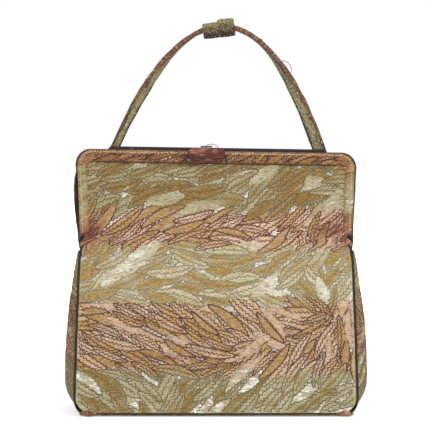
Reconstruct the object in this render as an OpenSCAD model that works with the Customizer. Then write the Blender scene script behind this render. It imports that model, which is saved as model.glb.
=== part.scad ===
// Brocade frame handbag: a hinged steel frame covered in cloth, an A-line pouch and a strap handle.
// Millimetres. X runs across the bag, the front faces -Y, Z is up from the surface it stands on.

/* [Pouch] */
// Height of the hinge axis above the surface
hinge_z = 148; // [125:1:175]
// Width of the front panel at the base, seam to seam
base_w = 236; // [232:1:250]
// Depth of the base, seam to seam
base_d = 74; // [60:1:90]
// Thickness of a cloth wall with its interlining
cloth_t = 2; // [1.2:0.1:2.4]
// How far the front and back panels belly out at mid width
panel_belly = 5; // [3:0.5:7]
// How far each gusset bulges past its seams
gusset_bulge = 10.5; // [5:0.5:12]
// Radius that turns the gussets under at the base
gusset_foot_r = 28; // [18:1:32]
// Radius that turns the side seams under at the base
seam_foot_r = 14; // [8:1:16]
// Radius of the piping cord
piping_r = 1.5; // [1:0.1:1.6]
// Thickness of the lining cloth
lining_t = 0.8; // [0.6:0.1:1.2]
// Thickness of the board that stiffens the base
board_t = 1.8; // [1.2:0.1:2.4]

/* [Frame] */
// Outer width of the front half
frame_w = 229; // [222:1:236]
// Height of the frame above the hinge axis
frame_h = 72; // [62:1:82]
// Drop of the top rail from its left end to its right end
frame_lean = 3.5; // [0:0.5:4]
// How far each arm draws in from the shoulder to the hinge
frame_taper = 2; // [1:0.5:5]
// Outer radius of the shoulders
shoulder_r = 11; // [8:1:16]
// Depth of each half, front to back
frame_d = 10; // [9:0.5:12]
// Thickness of the frame's sheet steel
steel_t = 1.2; // [1:0.1:1.4]
// Height of the top rail's face
rail_h = 9.5; // [8:0.5:12]
// Width of each arm's face
arm_w = 5; // [4:0.5:7]
// How far the back half stands out round the front half
back_rim = 3; // [2:0.5:4]
// Thickness of the cloth that covers the frame's faces
cover_t = 0.8; // [0.5:0.1:1.2]
// Height of the dark closing lip above the back half
lip_h = 2.5; // [1.5:0.5:4]

/* [Hinge] */
// Radius of the hinge ears
ear_r = 5.5; // [4.5:0.5:6.5]
// Radius of the hinge rivets
rivet_r = 1.5; // [1.2:0.1:1.8]

/* [Clasp] */
// Place of the clasp's middle along the top rail
clasp_x = -8; // [-20:1:20]
// Width of the covered tab
clasp_w = 31; // [24:1:40]
// Thickness of the covered tab
clasp_t = 2.6; // [2:0.1:3.2]
// Width of the finger that lies over the lip
finger_w = 10; // [8:1:14]
// Radius of the clasp's pin
clasp_pin_r = 1; // [0.8:0.1:1.2]

/* [Handle] */
// Distance of each strap end from the side of the frame
handle_inset = 27.5; // [24:0.5:40]
// Middle of the handle, from the middle of the frame
handle_x = 1; // [-4:0.5:4]
// Rise of the strap above the frame
handle_rise = 104.5; // [85:1:120]
// Sideways lean of the arch at its top
handle_lean = 5; // [0:1:8]
// Width of the strap
strap_w = 9; // [7.5:0.5:11]
// Thickness of the strap
strap_t = 4.6; // [4:0.2:5.6]
// Outer height of the keeper bands on the strap
keeper_h = 14; // [11:0.5:16]
// How much higher the right band is than the left one
keeper_step = 1.5; // [0:0.5:2.5]
// How far the bands hang below the middle of the strap
keeper_drop = 2; // [0:0.5:3]
// Outer depth of the keeper bands
keeper_d = 14; // [12:0.5:17]
// Length of one keeper band along the strap
keeper_l = 12.5; // [10:0.5:15]

/* [Hidden] */
$fn = 48;

// Colours
brocade = "#a39472";
red_brocade = "#9c7458";
dark_metal = "#2b271d";
steel_grey = "#8d8a80";
piping_green = "#243022";
lining_green = "#3a4034";

// Clearances
fit = 0.05;          // running fit of a pin
seat = 0.1;          // pieces that lie face to face
clear = 0.3;         // soft pieces beside their neighbours
seam_inset = piping_r + 0.9;   // panel edge from the middle of the piping

// Frame places, with z measured from the hinge axis
half_gap = clear;                                  // each half stands this far from the middle plane
handle_span = frame_w - 2 * handle_inset;          // strap ends where they enter the frame
front_hinge_x = frame_w / 2 - frame_taper;         // front arms at the axis
rivet_head_r = rivet_r + 1.5;
rivet_head_t = 1;
ear_boss = 0.5;                                    // raised face of an ear, clear of the slanting arm
ear_gap = ear_boss + 0.4;                          // between the arms at the axis
back_hinge_x = front_hinge_x + steel_t + ear_gap;  // back arms at the axis
back_half_w = frame_w / 2 + back_rim;
face_y = half_gap + frame_d;                       // outer face of either half
arm_narrow_z = 5;                                 // arms narrow below this height
top_panel_tuck = 0.5;                              // panel edge behind the top rail's face
panel_y = face_y - steel_t - seat;                 // outer face of the panels at the arms
panel_up = frame_h - rail_h + top_panel_tuck;      // top edge of the panels above the axis
function top_z(x) = frame_h - frame_lean * x / frame_w;
function opening_x(z) = front_hinge_x - steel_t - 2 * clear
    + frame_taper * min(1, max(0, z) / (frame_h - shoulder_r));

// Pouch outlines, with z measured from the surface
hinge_seam_x = front_hinge_x + 1.5;
pinch_in = 3.2;         // the pouch draws in to pass inside the arms
pinch_low = 13;         // height below the axis where it starts to draw in
pinch_high = 5.5;        // height below the axis where it is fully drawn in
wing_h = 48;            // gusset wing above the axis
wing_fold = 24;         // depth of the wing's inward fold
panel_foot_r = 4;       // turns the panels under at the base
full_bulge_at = 0.7;    // share of the way down where the gusset bulge is full
bulge_power = 0.95;     // how soon the bulge starts below the hinge
base_belly = 0.8;       // panel belly left at the base
function down(z) = 1 - z / hinge_z;
function smooth(t) = let (u = min(1, max(0, t))) u * u * (3 - 2 * u);
function foot(z, r) = z >= r ? 0 : r - sqrt(r * r - (r - z) * (r - z));
function pinch(z) = pinch_in * smooth((z - hinge_z + pinch_low) / (pinch_low - pinch_high));
function flare(s) = s <= 0 ? 0 : s * (1.35 - 0.35 * s);
function side_x(z) = hinge_seam_x + (base_w / 2 - hinge_seam_x) * flare(down(z)) - pinch(z);
function seam_x(z) = side_x(z) - foot(z, seam_foot_r);
function seam_y(z) = panel_y + (base_d / 2 - panel_y) * flare(down(z)) - foot(z, panel_foot_r);
function belly(z) = (panel_belly * (1 - pow(max(0, down(z)), 3)) + base_belly)
    * (1 - smooth((z - hinge_z) / panel_up));
function panel_half(z) = let (low = side_x(z) - seam_inset - foot(z - panel_low_z, panel_corner_r))
    low + (opening_x(z - hinge_z) - low) * smooth((z - hinge_z + 4) / 8);
function panel_face(x, z) = let (u = min(1, abs(x) / panel_half(z)))
    seam_y(z) + belly(z) * pow(1 - u * u, 2);
function bulge(z) = gusset_bulge * sin(90 * pow(min(1, max(0, down(z)) / full_bulge_at), bulge_power))
    - foot(z, gusset_foot_r);
function fold(z) = wing_fold * smooth((z - hinge_z + pinch_low) / (pinch_low - pinch_high));
function gusset_edge(z) = seam_y(z) - cloth_t - seat;
function gusset_face(y, z) = let (u = min(1, abs(y) / gusset_edge(z)))
    seam_x(z) + bulge(z) * (1 - u * u) - fold(z) * (1 - u);

// Heights of the pouch's own layers
base_t = cloth_t;
board_z = base_t + seat;
lining_z = board_z + board_t + clear;
piping_z = piping_r + 0.7;
panel_low_z = piping_z + piping_r + 0.2;
gusset_low_z = 2.2;
pouch_top_z = hinge_z - pinch_low;
panel_steps = 14;
gusset_steps = 10;
levels = 10;
upper_levels = 8;

// Round cross-section of the strap and bands
section_n = 12;
section_power = 0.7;

// Points on an arc
function arc(cx, cy, r, a0, a1, n) = [for (i = [0:n])
    let (a = a0 + (a1 - a0) * i / n) [cx + r * cos(a), cy + r * sin(a)]];

// Even steps from a to b
function steps(a, b, n) = [for (i = [0:n]) a + (b - a) * i / n];

// Closed solid through rings of equal length, each counter-clockwise seen from the last ring.
// A slab's ring runs out along one face and back along the other, so its ends close as strips.
module loft(rings, looped = false, slab = false) {
    n = len(rings[0]);
    m = len(rings);
    last = looped ? m - 1 : m - 2;
    sides = [for (j = [0:last], i = [0:n - 1])
        let (k = (i + 1) % n, a = j * n, b = ((j + 1) % m) * n)
        each [[a + i, b + i, b + k], [a + i, b + k, a + k]]];
    end = (m - 1) * n;
    strips = [for (i = [0:n / 2 - 2]) let (a = i, b = i + 1, c = n - 2 - i, d = n - 1 - i)
        each [[a, b, c], [a, c, d], [end + c, end + b, end + a], [end + d, end + c, end + a]]];
    caps = looped ? [] : slab ? strips : [[for (i = [0:n - 1]) i], [for (i = [n - 1:-1:0]) end + i]];
    polyhedron(points = [for (r = rings) each r], faces = concat(caps, sides), convexity = 10);
}

// Cord of radius r along a path that stays near one XZ plane
function unit(v) = v / norm(v);
function tangent(p, i) = unit(p[min(len(p) - 1, i + 1)] - p[max(0, i - 1)]);
function cord_ring(p, i, r, n) = let (t = tangent(p, i), b = unit(cross(t, [0, 1, 0])), c = cross(b, t))
    [for (k = [0:n - 1]) p[i] + r * (cos(360 * k / n) * c + sin(360 * k / n) * b)];
module cord(p, r, n = 8) loft([for (i = [0:len(p) - 1]) cord_ring(p, i, r, n)]);

// Outline of a frame half in XZ, drawn in by side and top
function half_outline(half_w, hinge_x, side, top, low) = let (
    r = max(1, shoulder_r - side),
    zr = top_z(half_w - shoulder_r) - top, zl = top_z(shoulder_r - half_w) - top,
    slope = (half_w - hinge_x) / (frame_h - shoulder_r))
    concat([[hinge_x - side + slope * low, low]],
           arc(half_w - side - r, zr - r, r, 0, 90, 6),
           arc(-half_w + side + r, zl - r, r, 90, 180, 6),
           [[-hinge_x + side - slope * low, low]]);

// U-shaped band of a frame half, width side on the arms and top on the rail
module half_band(half_w, hinge_x, side, top) difference() {
    polygon(half_outline(half_w, hinge_x, 0, 0, 0));
    polygon(half_outline(half_w, hinge_x, side, top, -1));
}

// Turns a profile in XZ into a plate that runs back from y
module plate(y, depth) translate([0, y + depth, hinge_z]) rotate([90, 0, 0]) linear_extrude(depth) children();

// Side view of a frame half on the front, with arms that narrow to the hinge
module half_profile(y_face) {
    reach = frame_w + 4 * back_rim;
    translate([-reach / 2, 0, hinge_z]) rotate([90, 0, 90]) linear_extrude(reach)
        polygon([[-y_face, frame_h * 2], [-y_face, arm_narrow_z], [-ear_r, 0],
                 [-half_gap, 0], [-half_gap, frame_h * 2]]);
}

// Channel of one frame half, drawn on the front, with hinge ears bored for the rivets
module frame_half(half_w, hinge_x) difference() {
    union() {
        intersection() {
            union() {
                plate(-face_y, frame_d) half_band(half_w, hinge_x, steel_t, steel_t);
                plate(-face_y, steel_t) half_band(half_w, hinge_x, arm_w, rail_h);
            }
            half_profile(face_y);
        }
        for (side = [-1, 1]) translate([side * (hinge_x - steel_t), 0, hinge_z])
            rotate([0, side * 90, 0]) cylinder(r = ear_r, h = steel_t + ear_boss);
    }
    translate([0, 0, hinge_z]) rotate([0, 90, 0]) cylinder(r = rivet_r + fit, h = frame_w * 2, center = true);
}

module frame_front() color(dark_metal) frame_half(frame_w / 2, front_hinge_x);

module frame_back() color(dark_metal) difference() {
    mirror([0, 1, 0]) frame_half(back_half_w, back_hinge_x);
    for (side = [-1, 1]) strap_hole(side);
}

// Cloth over the face of one frame half, drawn on the front
module half_cover(half_w, hinge_x) intersection() {
    plate(-face_y - seat - cover_t, cover_t) half_band(half_w, hinge_x, arm_w, rail_h);
    half_profile(face_y + seat + cover_t);
}

module frame_cover_front() color(red_brocade) half_cover(frame_w / 2, front_hinge_x);

module frame_cover_back() color(red_brocade) mirror([0, 1, 0]) half_cover(back_half_w, back_hinge_x);

// Rivet through a front ear and a back ear, headed on both sides
module hinge_rivet(side) color(steel_grey) {
    inner_x = front_hinge_x - steel_t - fit - rivet_head_t;
    outer_x = back_hinge_x + ear_boss + fit;
    translate([0, 0, hinge_z]) rotate([0, side * 90, 0]) {
        translate([0, 0, inner_x]) cylinder(r = rivet_r, h = outer_x + rivet_head_t - inner_x);
        translate([0, 0, inner_x]) cylinder(r = rivet_head_r, h = rivet_head_t);
        translate([0, 0, outer_x]) cylinder(r = rivet_head_r, h = rivet_head_t);
    }
}

module hinge_rivet_left() hinge_rivet(-1);
module hinge_rivet_right() hinge_rivet(1);

// Dark strip on the back half's front edge, between the outer edges of the strap's ends
lip_t = 1.2;
lip_over = 5.5;
lip_x = handle_span / 2 + lip_over;
module closing_lip() color(dark_metal) plate(half_gap, lip_t) {
    left = handle_x - lip_x;
    right = handle_x + lip_x;
    polygon([[left, top_z(left)], [right, top_z(right)],
             [right - lip_h, top_z(right) + lip_h], [left + lip_h, top_z(left) + lip_h]]);
}

// Clasp places: the tab stands on a pin low on the top rail and its finger lies over the lip
ear_t = 1.4;
knuckle_r = clasp_pin_r + 1.3;
clasp_back_y = -face_y - seat - cover_t;
clasp_pin_y = clasp_back_y - knuckle_r - clear;
clasp_pin_z = hinge_z + top_z(clasp_x) - rail_h + knuckle_r;
finger_t = 1;
finger_z = hinge_z + top_z(clasp_x) + lip_h + 2 * clear;
module clasp_axis(x0, length, r) translate([x0, clasp_pin_y, clasp_pin_z])
    rotate([0, 90, 0]) cylinder(r = r, h = length);

module clasp_ears() color(dark_metal) for (side = [-1, 1]) {
    x0 = clasp_x + side * (clasp_w / 2 + clear + ear_t / 2) - ear_t / 2;
    difference() {
        union() {
            clasp_axis(x0, ear_t, knuckle_r);
            translate([x0, clasp_pin_y, clasp_pin_z - knuckle_r])
                cube([ear_t, clasp_back_y - clasp_pin_y - fit, 2 * knuckle_r]);
        }
        clasp_axis(x0 - ear_t, 3 * ear_t, clasp_pin_r);
    }
}

module clasp_pin() color(steel_grey) {
    reach = clasp_w / 2 + clear + ear_t;
    clasp_axis(clasp_x - reach, 2 * reach, clasp_pin_r);
}

// Covered tab with a round lower edge, bored for the pin
module clasp_tab() color(red_brocade) difference() {
    union() {
        clasp_axis(clasp_x - clasp_w / 2, clasp_w, knuckle_r);
        translate([clasp_x - clasp_w / 2, clasp_pin_y - clasp_t / 2, clasp_pin_z])
            cube([clasp_w, clasp_t, finger_z - clasp_pin_z]);
    }
    clasp_axis(clasp_x - clasp_w, 2 * clasp_w, clasp_pin_r + fit);
}

// Finger from the tab's top edge back over the lip
module clasp_finger() color(dark_metal)
    translate([clasp_x - finger_w / 2, clasp_pin_y - clasp_t / 2, finger_z])
        cube([finger_w, clasp_t / 2 - clasp_pin_y + half_gap + lip_t, finger_t]);

// Strap arch: a flattened parabola in one plane behind the lip, leaning to one side
arch_power = 2.1;
strap_y = half_gap + frame_d / 2;
strap_in = 7;                      // length of strap inside the frame
strap_rings = 34;
keeper_mid = 0.495;                // place of the joint between the two keepers along the arch
function arch_z(u) = handle_rise * (1 - pow(abs(u), arch_power));
function strap_x(u) = handle_x + u * handle_span / 2;
function strap_top(u) = hinge_z + top_z(strap_x(u));
function strap_at(u) = [strap_x(u) + handle_lean * arch_z(u) / handle_rise, strap_y,
                        strap_top(u) + arch_z(u)];
function strap_way(u) = unit(strap_at(u + 0.01) - strap_at(u - 0.01));
strap_end = 1 + strap_in / norm(strap_at(1.01) - strap_at(0.99)) * 0.02;
function twist(u) = -90 * (1 - smooth((abs(u) - 0.3) / 0.65));
function squircle(a, b, k) = let (c = cos(k), s = sin(k))
    [a * sign(c) * pow(abs(c), section_power), b * sign(s) * pow(abs(s), section_power)];
function strap_ring(u, w, t) = let (d = strap_way(u), n = cross(d, [0, 1, 0]), a = twist(u))
    [for (k = [0:section_n - 1]) let (q = squircle(w / 2, t / 2, 360 * (k + 0.5) / section_n))
        strap_at(u) + (q[0] * cos(a) - q[1] * sin(a)) * n + (q[0] * sin(a) + q[1] * cos(a)) * [0, 1, 0]];

function turned(ring) = [for (i = [len(ring) - 1:-1:0]) ring[i]];
module handle_strap() color(brocade)
    loft([for (u = steps(-strap_end, strap_end, strap_rings)) turned(strap_ring(u, strap_w, strap_t))]);

// Cloth band round the strap, from u0 to u1 along the arch
module keeper(u0, u1, height) color(brocade) {
    sleeve = 2 * clear;
    outer = [for (u = steps(u0, u1, 4)) [for (q = strap_ring(u, keeper_d, height)) q - [0, 0, keeper_drop]]];
    inner = [for (u = steps(u1, u0, 4)) strap_ring(u, strap_w + sleeve, strap_t + sleeve)];
    loft([for (r = concat(outer, inner)) turned(r)], looped = true);
}
keeper_u = keeper_l / (handle_span / 2);
keeper_split = 2 * keeper_mid - 1;
keeper_gap = seat / (handle_span / 2);
module keeper_left() keeper(keeper_split - keeper_u, keeper_split - keeper_gap, keeper_h);
module keeper_right() keeper(keeper_split + keeper_gap, keeper_split + keeper_u, keeper_h + keeper_step);

// Frame of the strap's end, with z along the strap
module at_strap_end(side) {
    d = strap_way(side);
    translate([strap_x(side), strap_y, strap_top(side)])
        rotate([0, atan2(d[0], d[2]), 0]) children();
}
module strap_hole(side) at_strap_end(side)
    cube([strap_w + 4 * clear, strap_t + 4 * clear, 8 * steel_t], center = true);

// Metal ferrule that grips the strap's end inside the back half
ferrule_wall = 1;
ferrule_h = 3;
ferrule_drop = 4;
module handle_ferrule(side) color(dark_metal) at_strap_end(side)
    translate([0, 0, side > 0 ? ferrule_drop : -ferrule_drop - ferrule_h])
    linear_extrude(ferrule_h) difference() {
        square([strap_w + 2 * (ferrule_wall + clear), strap_t + 2 * (ferrule_wall + clear)], center = true);
        square([strap_w + 2 * clear, strap_t + 2 * clear], center = true);
    }
module handle_ferrule_left() handle_ferrule(-1);
module handle_ferrule_right() handle_ferrule(1);

// Height of a panel point: above the axis the cloth follows the leaning rail
function panel_z(x, z) = z > hinge_z ? hinge_z + (z - hinge_z) * top_z(x) / frame_h : z;

// Ring of a front panel at height z, thickness t, set in by k from the outer face
function panel_ring(z, half_x, t, k) = concat(
    [for (x = steps(-half_x, half_x, panel_steps)) [x, k - panel_face(x, z), panel_z(x, z)]],
    [for (x = steps(half_x, -half_x, panel_steps)) [x, k + t - panel_face(x, z), panel_z(x, z)]]);
module panel(z_list) loft([for (z = z_list) panel_ring(z, panel_half(z), cloth_t, 0)], slab = true);

panel_corner_r = seam_foot_r - seam_inset;
low_list = concat([for (t = steps(0, 1, 5)) panel_low_z + panel_corner_r * t * t],
                  steps(panel_low_z + panel_corner_r + 12, hinge_z - clear / 2, levels));
high_list = steps(hinge_z + clear / 2, hinge_z + panel_up, upper_levels);

module front_panel_upper() color(brocade) panel(high_list);
module front_panel_lower() color(brocade) panel(low_list);
module back_panel() color(brocade) mirror([0, 1, 0]) panel(concat(low_list, high_list));

// Gusset: one cloth from the base to the wing folded in between the frame's arms
function gusset_ring(z) = let (e = gusset_edge(z)) concat(
    [for (y = steps(-e, e, gusset_steps)) [gusset_face(y, z), y, z]],
    [for (y = steps(e, -e, gusset_steps)) [gusset_face(y, z) - cloth_t, y, z]]);
gusset_list = concat([for (t = steps(0, 1, 5)) gusset_low_z + (gusset_foot_r - gusset_low_z) * t * t],
                     steps(gusset_foot_r + 10, hinge_z - pinch_low, 6),
                     steps(hinge_z - pinch_low + 3, hinge_z - pinch_high, 3),
                     steps(hinge_z, hinge_z + wing_h, 6));
module gusset() loft([for (z = gusset_list) gusset_ring(z)], slab = true);
module gusset_right() color(brocade) gusset();
module gusset_left() color(brocade) mirror([1, 0, 0]) gusset();

// Flat base cloth that the bag stands on, and the board over it
function base_half_x(z) = gusset_face(0, z) - cloth_t - clear;
module slab(half_x, half_y, z, t, r) translate([0, 0, z]) linear_extrude(t)
    polygon(concat(arc(half_x - r, half_y - r, r, 0, 90, 6), arc(r - half_x, half_y - r, r, 90, 180, 6),
                   arc(r - half_x, r - half_y, r, 180, 270, 6), arc(half_x - r, r - half_y, r, 270, 360, 6)));
base_corner_r = 4;
module base_panel() color(brocade)
    slab(base_half_x(gusset_low_z), seam_y(piping_z) - piping_r - 0.2, 0, base_t, base_corner_r);
module base_board() color("#8a7a5c")
    slab(base_half_x(board_z) - 1, seam_y(board_z) - cloth_t - 1, board_z, board_t, base_corner_r);

// Piping: down one side seam, along the base and up the other
piping_top_z = hinge_z - pinch_high - piping_r;
piping_turn_z = 8;
function piping_side(z) = [seam_x(z), -seam_y(z), z];
piping_bend_z = hinge_z - pinch_low;      // the seam draws in above this height
side_list = concat(steps(piping_top_z, piping_bend_z, 4),
                   steps(piping_bend_z - 10, piping_turn_z, 11), [5.4, 3.4]);
run_x = seam_x(piping_z) - 4;
right_side = [for (z = side_list) piping_side(z)];
base_run = [for (x = steps(-run_x, run_x, 8))
    [x, -panel_face(x, panel_low_z) + foot(piping_z, panel_foot_r), piping_z]];
piping_path = concat([for (p = right_side) [-p[0], p[1], p[2]]], base_run,
                     [for (i = [len(right_side) - 1:-1:0]) right_side[i]]);
module piping_front() color(piping_green) cord(piping_path, piping_r);
module piping_back() color(piping_green) mirror([0, 1, 0]) cord(piping_path, piping_r);

// Lining: cloths inside the panels, gussets and board, and a facing inside each frame half
lining_k = cloth_t + clear;
lining_low = lining_z + lining_t + clear;
lining_list = steps(lining_low, pouch_top_z, 8);
module lining_wall() loft([for (z = lining_list)
    panel_ring(z, panel_half(z) - 2 * lining_k, lining_t, lining_k)], slab = true);
function lining_side_ring(z) = let (e = gusset_edge(z) - lining_k - lining_t) concat(
    [for (y = steps(-e, e, gusset_steps)) [gusset_face(y, z) - lining_k, y, z]],
    [for (y = steps(e, -e, gusset_steps)) [gusset_face(y, z) - lining_k - lining_t, y, z]]);
module lining_side() loft([for (z = lining_list) lining_side_ring(z)], slab = true);
module lining_pouch() color(lining_green) {
    lining_wall();
    mirror([0, 1, 0]) lining_wall();
    lining_side();
    mirror([1, 0, 0]) lining_side();
    slab(base_half_x(lining_z) - lining_k, seam_y(lining_z) - lining_k, lining_z, lining_t, base_corner_r);
}

facing_side = 10;      // facings stop short of the gusset wings
facing_list = steps(hinge_z + 1, hinge_z + panel_up - 1, 5);
module facing() loft([for (z = facing_list)
    panel_ring(z, panel_half(z) - facing_side, lining_t, lining_k)], slab = true);
module lining_front() color(lining_green) facing();
module lining_back() color(lining_green) mirror([0, 1, 0]) facing();

frame_front();
frame_back();
frame_cover_front();
frame_cover_back();
hinge_rivet_left();
hinge_rivet_right();
closing_lip();
clasp_ears();
clasp_pin();
clasp_tab();
clasp_finger();
handle_strap();
keeper_left();
keeper_right();
handle_ferrule_left();
handle_ferrule_right();
front_panel_upper();
front_panel_lower();
back_panel();
gusset_left();
gusset_right();
base_panel();
base_board();
piping_front();
piping_back();
lining_pouch();
lining_front();
lining_back();
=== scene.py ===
import bpy
import math
import random
import numpy as np
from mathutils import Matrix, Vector, noise


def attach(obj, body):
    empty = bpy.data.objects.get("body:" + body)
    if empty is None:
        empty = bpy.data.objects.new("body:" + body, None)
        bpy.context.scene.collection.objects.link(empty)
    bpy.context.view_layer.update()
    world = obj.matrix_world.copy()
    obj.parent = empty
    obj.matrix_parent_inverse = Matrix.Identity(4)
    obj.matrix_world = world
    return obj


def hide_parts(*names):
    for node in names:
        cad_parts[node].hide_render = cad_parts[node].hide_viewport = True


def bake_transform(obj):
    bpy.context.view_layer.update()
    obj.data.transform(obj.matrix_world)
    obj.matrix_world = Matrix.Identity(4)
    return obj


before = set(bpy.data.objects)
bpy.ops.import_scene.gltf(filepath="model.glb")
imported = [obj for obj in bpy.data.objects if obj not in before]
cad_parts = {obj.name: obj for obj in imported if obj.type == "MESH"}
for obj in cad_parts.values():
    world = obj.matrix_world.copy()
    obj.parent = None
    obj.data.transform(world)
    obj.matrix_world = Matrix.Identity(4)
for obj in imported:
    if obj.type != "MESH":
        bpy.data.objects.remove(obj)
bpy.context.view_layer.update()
print("frame loaded with", len(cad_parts), "solids")

# Cutting sizes in mm, the same as the solids have
cut = {
    "hingeZ": 148, "hingeX": 114, "baseX": 118, "panelY": 9.0, "baseY": 37,
    "belly": 5, "baseBelly": 0.8, "panelUp": 63, "panelLow": 3.9, "seamInset": 2.4,
    "bulge": 10.5, "gussetFoot": 28, "seamFoot": 14, "panelFoot": 4,
    "pinch": 3.2, "fold": 24, "pinchLow": 13, "pinchHigh": 5.5,
    "frameW": 229, "frameH": 72, "frameLean": 3.5, "shoulder": 11, "armW": 5, "railH": 9.5,
    "frontHingeX": 112.5, "backHingeX": 114.6, "backHalfW": 117.5,
    "faceY": 10.3, "openingX": 110.7, "taper": 2,
}
hingeZ = cut["hingeZ"]
panelTop = hingeZ + cut["panelUp"]


def smooth(t):
    t = min(1.0, max(0.0, t))
    return t * t * (3 - 2 * t)


def between(low, high, t):  # t runs from -1 to 1
    return low + (high - low) * (t + 1) / 2


def hump(at, middle, width):
    return math.exp(-((at - middle) / width) ** 2)


def foot(z, r):
    return 0.0 if z >= r else r - math.sqrt(max(0.0, r * r - (r - z) ** 2))


def down(z):
    return 1 - z / hingeZ


def flare(s):
    return 0.0 if s <= 0 else s * (1.35 - 0.35 * s)


def drawIn(z):  # share of the way that the pouch has drawn in to pass between the arms
    return smooth((z - hingeZ + cut["pinchLow"]) / (cut["pinchLow"] - cut["pinchHigh"]))


def sideX(z):
    return cut["hingeX"] + (cut["baseX"] - cut["hingeX"]) * flare(down(z)) - cut["pinch"] * drawIn(z)


def seamX(z):
    return sideX(z) - foot(z, cut["seamFoot"])


def seamY(z):
    return cut["panelY"] + (cut["baseY"] - cut["panelY"]) * flare(down(z)) - foot(z, cut["panelFoot"])


def belly(z):
    full = cut["belly"] * (1 - max(0.0, down(z)) ** 3) + cut["baseBelly"]
    return full * (1 - smooth((z - hingeZ) / cut["panelUp"]))


def panelHalf(z):
    low = sideX(z) - cut["seamInset"] - foot(z - cut["panelLow"], cut["seamFoot"] - cut["seamInset"])
    high = cut["openingX"] + cut["taper"] * min(1.0, max(0.0, z - hingeZ) / (cut["frameH"] - cut["shoulder"]))
    return low + (high - low) * smooth((z - hingeZ + 4) / 8)


def panelFace(x, z):
    u = min(1.0, abs(x) / panelHalf(z))
    return seamY(z) + belly(z) * (1 - u * u) ** 2


def topZ(x):
    return cut["frameH"] - cut["frameLean"] * x / cut["frameW"]


def panelZ(x, z):
    return z if z <= hingeZ else hingeZ + (z - hingeZ) * topZ(x) / cut["frameH"]


def gussetFace(y, z):
    u = min(1.0, abs(y) / (seamY(z) - 2.1))
    share = min(1.0, max(0.0, down(z)) / 0.7) ** 0.95
    bulge = cut["bulge"] * math.sin(math.pi / 2 * share) - foot(z, cut["gussetFoot"])
    return seamX(z) + bulge * (1 - u * u) - cut["fold"] * drawIn(z) * (1 - u)


# Modelling helpers
def deselect():
    if bpy.context.object and bpy.context.object.mode != "OBJECT":
        bpy.ops.object.mode_set(mode="OBJECT")
    bpy.ops.object.select_all(action="DESELECT")


def pick(*pieces):
    deselect()
    for piece in pieces:
        piece.select_set(True)
    bpy.context.view_layer.objects.active = pieces[0]


def clothGrid(name, cols, rows, place, clothAt, closed=False):
    deselect()
    bpy.ops.mesh.primitive_grid_add(x_subdivisions=cols, y_subdivisions=rows, size=2)
    piece = bpy.context.object
    piece.name = piece.data.name = name
    uvMap = piece.data.uv_layers[0]
    uvMap.name = "cloth"
    flat = [(v.co.x, v.co.y) for v in piece.data.vertices]
    for v, (s, t) in zip(piece.data.vertices, flat):
        v.co = Vector(place(s, t)) * 0.001
    for loop, corner in zip(piece.data.loops, uvMap.data):  # the map is in metres of cloth
        corner.uv = [c * 0.001 for c in clothAt(*flat[loop.vertex_index])]
    if closed:  # a tube: its seam is merged and its ends are filled
        bpy.ops.object.mode_set(mode="EDIT")
        bpy.ops.mesh.select_all(action="SELECT")
        bpy.ops.mesh.remove_doubles(threshold=1e-6)
        bpy.ops.mesh.fill_holes(sides=0)
        bpy.ops.mesh.select_all(action="SELECT")
        bpy.ops.mesh.normals_make_consistent(inside=False)
        bpy.ops.object.mode_set(mode="OBJECT")
    bpy.ops.object.shade_smooth()
    return piece


def threadTube(name, points, radius, sides=3):
    curve = bpy.data.curves.new(name, "CURVE")
    curve.dimensions = "3D"
    curve.bevel_depth = radius * 0.001
    curve.bevel_resolution = sides
    curve.use_fill_caps = True
    line = curve.splines.new("POLY")
    line.points.add(len(points) - 1)
    for point, p in zip(line.points, points):
        point.co = (p[0] * 0.001, p[1] * 0.001, p[2] * 0.001, 1)
        point.radius = p[3] if len(p) > 3 else 1.0
    piece = bpy.data.objects.new(name, curve)
    bpy.context.collection.objects.link(piece)
    pick(piece)
    bpy.ops.object.convert(target="MESH")
    piece = bpy.context.object
    bpy.ops.object.shade_smooth()
    return piece


def joined(name, pieces):
    pick(*pieces)
    if len(pieces) > 1:
        bpy.ops.object.join()
    whole = bpy.context.object
    whole.name = whole.data.name = name
    return whole


def wavy(x, y, z, size, seed=0.0):  # soft noise from -1 to 1, features of that size in mm
    return noise.noise(Vector((x / size + seed, y / size - seed, z / size + 2 * seed)))


# Leaves of the brocade, in mm of cloth: along x, up z
leafBed = {
    "seed": 11, "tries": 6000, "area": (-130, 130, -14, 236), "redBands": ((34, 96), (138, 171), (206, 240)),
    "redSize": (40, 7.6), "greenSize": (44, 10.5), "underSize": (28, 7.5), "packed": (0.54, 0.80),
    "bend": 0.34, "tooth": 3.6, "toothDeep": 0.9, "thread": 1.1, "threadHigh": 0.28, "threadLow": -0.05,
    "streak": 0.86, "silverBelow": 27, "reach": 3.5, "outside": -6.0,
    "lean": [  # place on the cloth and the way that its leaves point, in degrees
        (-105, 155, 50), (-75, 155, 38), (-40, 155, 28), (0, 158, 32), (25, 146, -15), (55, 152, 35),
        (80, 152, 60), (104, 155, 40), (-90, 190, 15), (-40, 196, 12), (-10, 185, 5), (40, 200, 50),
        (62, 185, 45), (92, 190, -10), (0, 207, 20), (-90, 120, 30), (-50, 125, 20), (-20, 128, -25),
        (30, 120, 20), (60, 125, 35), (92, 130, 45), (0, 105, -10), (80, 105, -50), (-108, 85, 14),
        (-104, 60, -35), (-85, 72, -25), (-60, 80, -28), (-30, 75, -33), (-5, 70, -35), (-40, 50, -20),
        (20, 80, -45), (42, 75, -50), (60, 70, -15), (85, 75, 25), (103, 70, 85), (10, 48, 28),
        (35, 45, 45), (60, 45, 58), (85, 45, 68), (107, 50, 90), (-80, 45, -20), (-90, 20, -40),
        (-60, 25, -45), (-30, 15, 60), (0, 20, 40), (30, 15, 50), (60, 20, 45), (92, 20, 30),
    ],
}


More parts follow.
